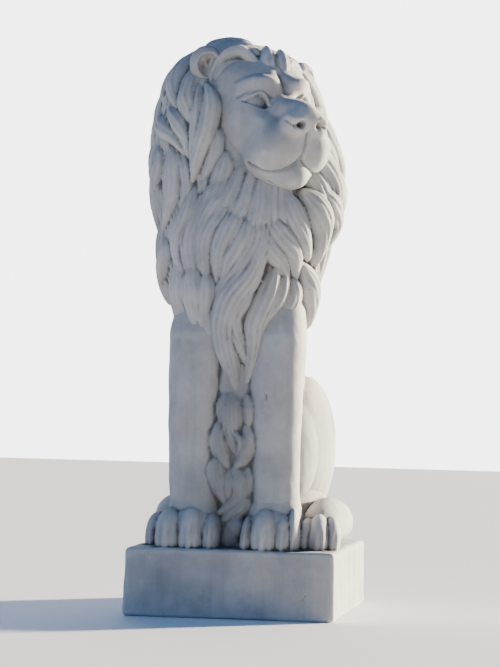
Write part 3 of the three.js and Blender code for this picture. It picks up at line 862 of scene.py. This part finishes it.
def cast(pieces, name, grain, marks=()):
    """Melts the forms into one skin, softens it a little, cuts it flat underneath and thins it."""
    piece = joined(pieces, name)
    put(piece, (places_of(piece) + [0, 0, PLINTH_HEIGHT]) * MM)
    finished(piece, "REMESH", mode="VOXEL", voxel_size=grain * MM, adaptivity=0, use_smooth_shade=True)
    finished(piece, "SMOOTH", factor=0.5, iterations=1)
    uneven(piece)
    marked(piece, marks)
    places = places_of(piece)
    places[:, 2] = np.maximum(places[:, 2], 0)
    put(piece, places)
    triangles = sum(len(face.vertices) - 2 for face in piece.data.polygons)
    if triangles > TRIANGLE_LIMIT:
        finished(piece, "DECIMATE", decimate_type="COLLAPSE", ratio=TRIANGLE_LIMIT / triangles)
    chosen(piece)
    bpy.ops.object.shade_smooth()
    return piece


# Marks left by the mould and by wear, where they show on the legs' and the plinth's fronts: places of the
# photograph, then half width and depth.
LEG_FRONT, PLINTH_FRONT = -144, -194
FRONT_MARKS = {
    LEG_FRONT: [
        ([(201, 374), (202, 381), (206, 386), (210, 382)], 1.5, 1.3),
        ([(194, 332), (193, 335), (193, 338)], 2.2, 5),
        ([(266, 395), (266, 397), (266, 399)], 2.0, 3),
        ([(261, 469), (261, 471), (262, 472)], 1.8, 2.4),
        ([(184, 336), (183, 400), (182, 460), (182, 498)], 3.0, -0.9),
    ],
    PLINTH_FRONT: [
        ([(302, 601), (304, 597), (307, 595)], 1.1, 1.0),
        ([(309, 580), (312, 578), (313, 574)], 1.1, 1.0),
        ([(292, 586), (295, 585), (297, 593)], 1.1, 0.8),
        ([(163, 576), (165, 566), (166, 558)], 1.1, 0.7),
    ],
}


def body_marks():
    """The marks as lines of places on the fronts that carry them."""
    return [
        ([seen_on_plane(across, down, y) for across, down in points], half, depth)
        for y, marks in FRONT_MARKS.items()
        for points, half, depth in marks
    ]


# A hollow is how far the skin lies below itself smoothed, in few steps for fine hollows and many for broad ones.
# Each has the depth in millimetres that counts in full, and its share of the result.
FINE_STEPS, FINE_DEPTH, FINE_SHARE = 8, 0.9, 0.45
BROAD_STEPS, BROAD_DEPTH, BROAD_SHARE = 60, 4.5, 0.55


def cavities(piece):
    """Writes how deep each place lies in a hollow, from -1 on a ridge to 1 in a groove, as an attribute."""
    mesh = piece.data
    places, normals = places_of(piece), normals_of(piece)
    edges = np.empty(len(mesh.edges) * 2, dtype=np.int64)
    mesh.edges.foreach_get("vertices", edges)
    a, b = edges.reshape(-1, 2).T
    neighbours = np.bincount(np.concatenate([a, b]), minlength=len(places))[:, None]
    smooth = places.copy()
    below = {}
    for step in range(1, BROAD_STEPS + 1):
        total = np.zeros_like(smooth)
        for axis in range(3):
            seen_from_a, seen_from_b = smooth[b, axis], smooth[a, axis]
            total[:, axis] = np.bincount(a, seen_from_a, len(places)) + np.bincount(b, seen_from_b, len(places))
        smooth = 0.5 * smooth + 0.5 * total / neighbours
        if step in (FINE_STEPS, BROAD_STEPS):
            below[step] = np.sum((smooth - places) * normals, axis=1) / MM
    fine, broad = np.clip(below[FINE_STEPS] / FINE_DEPTH, -1, 1), np.clip(below[BROAD_STEPS] / BROAD_DEPTH, -1, 1)
    attribute = mesh.attributes.new("hollow", "FLOAT", "POINT")
    attribute.data.foreach_set("value", (fine * FINE_SHARE + broad * BROAD_SHARE).astype(np.float32))


def head():
    forms = [face(), eye(1), eye(-1), *lids(1), *lids(-1), ear(1, 50), ear(-1, 38)]
    return cast(forms, "lion_head", HEAD_GRAIN)


def mane():
    locks = [
        traced(points, width, proud, lift, phase=0.31 * i, count=max(3, round(width / 9)), depth=0.5 + 0.18 * proud)
        for i, (points, width, proud, lift) in enumerate(TRACED_LOCKS)
    ]
    locks += [
        laid(points, width, proud, lift, phase=0.37 * i, count=max(3, round(width / 10)))
        for i, (points, width, proud, lift) in enumerate(LAID_LOCKS)
    ]
    return cast([trunk(), *locks, *hairline(), *back_locks(), *under_locks()], "lion_mane", MANE_GRAIN)


def body_and_plinth():
    forms = [plinth()]
    for side in (-1, 1):
        forms += [front_leg(side), *front_paw(side), *haunch(side), *hind_foot(side)]
    forms += [*tail(), *chest_hair(), trunk()]
    return cast(forms, "lion_body_and_plinth", BODY_GRAIN, body_marks())


# -------- material
def linear(hex_colour):
    """An sRGB hex colour as linear light."""
    parts = [int(hex_colour[i : i + 2], 16) / 255 for i in (1, 3, 5)]
    return (*[p / 12.92 if p <= 0.04045 else ((p + 0.055) / 1.055) ** 2.4 for p in parts], 1)


def node(tree, kind, settings=None, **links):
    """Adds a shader node. settings are its own, and links are its inputs: an output to join or a value, under the
    input's name, or under i and its number where names repeat."""
    made = tree.nodes.new(kind)
    for name, value in (settings or {}).items():
        setattr(made, name, value)
    for name, value in links.items():
        numbered = name[0] == "i" and name[1:].isdigit()
        socket = made.inputs[int(name[1:]) if numbered else name.replace("_", " ")]
        if isinstance(value, bpy.types.NodeSocket):
            tree.links.new(value, socket)
        else:
            socket.default_value = value
    return made


def cast_stone():
    """Weathered cast stone: pale cement and crushed marble, poured in a mould and left outdoors. Matt and
    finely sandy, a little mottled, with painted shade and some rain grime in the hollows and between the front legs,
    and small air holes from the casting, their insides painted dark as shade."""
    material = bpy.data.materials.new("weathered_cast_stone")
    material.use_nodes = True
    tree = material.node_tree
    tree.nodes.clear()
    place = node(tree, "ShaderNodeTexCoord").outputs["Object"]
    hollow = node(tree, "ShaderNodeAttribute", {"attribute_name": "hollow"}).outputs["Fac"]

    # In what follows, noise scales are patches in a metre. A colour mix has its share at i0 and its colours at i6
    # and i7, and gives its result at output 2.
    # Stone, mottled in patches of about 60 mm. Its sand of 0.5 to 1 mm is too fine to show, so the flecks are drawn
    # at about 2 mm.
    colours = {"data_type": "RGBA"}
    blotches = node(tree, "ShaderNodeTexNoise", Vector=place, Scale=16.0, Detail=5.0, Roughness=0.62).outputs["Fac"]
    flecks = node(tree, "ShaderNodeTexNoise", Vector=place, Scale=480.0, Detail=2.0, Roughness=0.7).outputs["Fac"]
    soft = node(tree, "ShaderNodeMapRange", Value=blotches, From_Min=0.32, From_Max=0.68).outputs[0]
    stone = node(tree, "ShaderNodeMix", colours, i0=soft, i6=linear("#A7A2A0"), i7=linear("#CDC7C2")).outputs[2]
    sandy = node(tree, "ShaderNodeMapRange", Value=flecks, From_Min=0.3, From_Max=0.7, To_Max=0.22).outputs[0]
    flecked = node(tree, "ShaderNodeMix", colours, i0=sandy, i6=stone, i7=linear("#9B9A97")).outputs[2]

    # Ochre lichen bloom in a few patches of about 140 mm.
    bloom = node(tree, "ShaderNodeTexNoise", Vector=place, Scale=7.0, Detail=3.0, Roughness=0.5).outputs["Fac"]
    ochre = node(tree, "ShaderNodeMapRange", Value=bloom, From_Min=0.56, From_Max=0.78, To_Max=0.4).outputs[0]
    bloomed = node(tree, "ShaderNodeMix", colours, i0=ochre, i6=flecked, i7=linear("#C2B193")).outputs[2]

    # Rain runs down the faces in faint upright streaks, about 17 mm apart and 200 mm long.
    stretched = node(
        tree, "ShaderNodeMapping", {"vector_type": "POINT"}, Vector=place, Scale=(60.0, 60.0, 5.0)
    ).outputs[0]
    runs = node(tree, "ShaderNodeTexNoise", Vector=stretched, Scale=1.0, Detail=4.0, Roughness=0.65).outputs["Fac"]
    streak = node(tree, "ShaderNodeMapRange", Value=runs, From_Min=0.48, From_Max=0.8, To_Max=0.42).outputs[0]
    streaked = node(tree, "ShaderNodeMix", colours, i0=streak, i6=bloomed, i7=linear("#8F8E8B")).outputs[2]

    # The chest between the front legs is darkened in a patch about 60 mm wide, up to the tip of the beard: painted
    # shade of the gap between the legs, with some damp grime. It is an upright egg round its middle, which the
    # second vector rounds to a ball, and it fades out at its edge.
    middle, rounding = (-0.006, -0.135, 0.19), (30.0, 14.0, 5.6)
    from_middle = node(tree, "ShaderNodeVectorMath", {"operation": "SUBTRACT"}, i0=place, i1=middle).outputs[0]
    rounded = node(tree, "ShaderNodeVectorMath", {"operation": "MULTIPLY"}, i0=from_middle, i1=rounding).outputs[0]
    reach = node(tree, "ShaderNodeVectorMath", {"operation": "LENGTH"}, i0=rounded).outputs["Value"]
    chest_gap_shade_and_damp = node(tree, "ShaderNodeMapRange", Value=reach, From_Min=1.15, From_Max=0.7).outputs[0]

    # Hollows are darkened unevenly, a little more in the patch between the legs: painted shade where light reaches
    # less, with some grime. Ridges are made paler.
    patchy = node(tree, "ShaderNodeMath", {"operation": "MULTIPLY_ADD"}, i0=blotches, i1=0.7, i2=-0.35).outputs[0]
    uneven_depth = node(tree, "ShaderNodeMath", {"operation": "ADD"}, i0=hollow, i1=patchy).outputs[0]
    depth = node(tree, "ShaderNodeMath", {"operation": "MULTIPLY_ADD"}, i0=chest_gap_shade_and_damp, i1=0.08, i2=uneven_depth).outputs[0]
    hollow_shade_and_grime = node(tree, "ShaderNodeMapRange", Value=depth, From_Min=0.1, From_Max=0.72, To_Max=0.88).outputs[0]
    # Painted shade, with some grime, in the hollows.
    hollows_shaded_and_grimed = node(tree, "ShaderNodeMix", colours, i0=hollow_shade_and_grime, i6=streaked, i7=linear("#45433F")).outputs[2]
    ridge = node(tree, "ShaderNodeMapRange", Value=hollow, From_Min=-0.1, From_Max=-0.7, To_Max=0.4).outputs[0]
    ridges_paler = node(tree, "ShaderNodeMix", colours, i0=ridge, i6=hollows_shaded_and_grimed, i7=linear("#DEDAD4")).outputs[2]
    # The patch between the legs: painted shade with some damp grime, mixed in at half strength.
    chest_gap_shade_and_damp_share = node(tree, "ShaderNodeMath", {"operation": "MULTIPLY"}, i0=chest_gap_shade_and_damp, i1=0.5).outputs[0]
    chest_gap_shaded_and_damp = node(tree, "ShaderNodeMix", colours, i0=chest_gap_shade_and_damp_share, i6=ridges_paler, i7=linear("#6F6C68")).outputs[2]

    # Air holes up to 2.5 mm across, in about one in seven of the cells, which are 18 mm wide, their insides darkened
    # as painted shade.
    cells = node(tree, "ShaderNodeTexVoronoi", {"feature": "F1"}, Vector=place, Scale=55.0, Randomness=1.0)
    rare = node(tree, "ShaderNodeSeparateColor", i0=cells.outputs["Color"]).outputs[0]
    size = node(tree, "ShaderNodeMapRange", Value=rare, From_Min=0.86, From_Max=1.0, To_Max=0.07).outputs[0]
    inside = node(
        tree, "ShaderNodeMath", {"operation": "LESS_THAN"}, i0=cells.outputs["Distance"], i1=size
    ).outputs[0]
    # Painted shade inside the air holes.
    air_holes_shaded = node(tree, "ShaderNodeMix", colours, i0=inside, i6=chest_gap_shaded_and_damp, i7=linear("#77746F")).outputs[2]

    # The stone's fine grain, 0.8 mm deep at most, with the air holes sunk in it.
    pits = node(tree, "ShaderNodeMath", {"operation": "MULTIPLY_ADD"}, i0=inside, i1=-1.5, i2=flecks).outputs[0]
    bump = node(tree, "ShaderNodeBump", Strength=0.35, Distance=0.0008, Height=pits).outputs[0]
    shader = node(tree, "ShaderNodeBsdfPrincipled", Base_Color=air_holes_shaded, Roughness=0.87, IOR=1.5, Normal=bump)
    node(tree, "ShaderNodeOutputMaterial", Surface=shader.outputs[0])
    return material


def pale_floor():
    """The studio's floor: smooth board rolled with off-white paint. Quite matt, so it holds no reflection and
    throws a soft light back up."""
    material = bpy.data.materials.new("pale_floor")
    material.use_nodes = True
    shader = material.node_tree.nodes["Principled BSDF"]
    shader.inputs["Base Color"].default_value = linear("#EAEBEE")
    shader.inputs["Roughness"].default_value = 0.9
    return material


# -------- camera, floor and light
SENSOR = 36  # the camera's sensor, in millimetres


def camera():
    """The camera stands where the photograph was taken from."""
    data = bpy.data.cameras.new("camera")
    data.sensor_fit = "VERTICAL"
    data.sensor_width = data.sensor_height = SENSOR
    data.lens = FOCAL * SENSOR / FRAME_HEIGHT
    viewer = bpy.data.objects.new("camera", data)
    bpy.context.scene.collection.objects.link(viewer)
    turn = Matrix([RIGHT, UP, -AHEAD]).transposed().to_4x4()
    viewer.matrix_world = Matrix.Translation(Vector(VIEWPOINT + [0, 0, PLINTH_HEIGHT]) * MM) @ turn
    bpy.context.scene.camera = viewer


# In metres.
FLOOR_SIZE = 14
CHEST = Vector((0, 0, 0.45))
# Both lights are turned to the chest: name, kind, place, energy and colour.
LIGHTS = [
    ("window_light", "SUN", (2.9, 2.6, 1.2), 23, "#FFF2D6"),
    ("front_fill", "AREA", (-2.6, -2.2, 2.4), 28, "#8FB8F5"),
]
SUN_ANGLE, FILL_SIZE = math.radians(5), 1.6


def studio():
    """The floor, the room's light, a low window behind the lion's left side and a soft cool lamp in front."""
    deselect()
    bpy.ops.mesh.primitive_plane_add(size=FLOOR_SIZE, location=(0, 0, 0))
    floor = bpy.context.object
    floor.name = "floor"
    floor.data.materials.append(pale_floor())
    # A studio with a bright back wall and a dim, cool front. The camera sees the bright wall wherever it looks.
    world = bpy.data.worlds.new("studio")
    bpy.context.scene.world = world
    world.use_nodes = True
    tree = world.node_tree
    way = node(tree, "ShaderNodeTexCoord").outputs["Generated"]
    back = node(tree, "ShaderNodeSeparateXYZ", Vector=way).outputs["Y"]
    share = node(tree, "ShaderNodeMapRange", Value=back, From_Min=0.7, From_Max=0.96).outputs[0]
    white = (5.0, 5.0, 5.0, 1)
    wall = node(tree, "ShaderNodeMix", {"data_type": "RGBA"}, i0=share, i6=linear("#4F729F"), i7=white)
    seen = node(tree, "ShaderNodeLightPath").outputs["Is Camera Ray"]
    backdrop = node(tree, "ShaderNodeMix", {"data_type": "RGBA"}, i0=seen, i6=wall.outputs[2], i7=white)
    background = tree.nodes["Background"]
    tree.links.new(backdrop.outputs[2], background.inputs["Color"])
    background.inputs["Strength"].default_value = 1.0
    for name, kind, where, energy, colour in LIGHTS:
        data = bpy.data.lights.new(name, kind)
        if kind == "SUN":
            data.angle = SUN_ANGLE
        else:
            data.size = FILL_SIZE
        data.energy = energy
        data.color = linear(colour)[:3]
        lamp = bpy.data.objects.new(name, data)
        bpy.context.scene.collection.objects.link(lamp)
        lamp.location = where
        lamp.rotation_euler = (CHEST - Vector(where)).to_track_quat("-Z", "Y").to_euler()


camera()
studio()
stone = cast_stone()
for piece in (head(), mane(), body_and_plinth()):
    cavities(piece)
    piece.data.materials.clear()
    piece.data.materials.append(stone)
    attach(piece, "root")
    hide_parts("lion_statue")
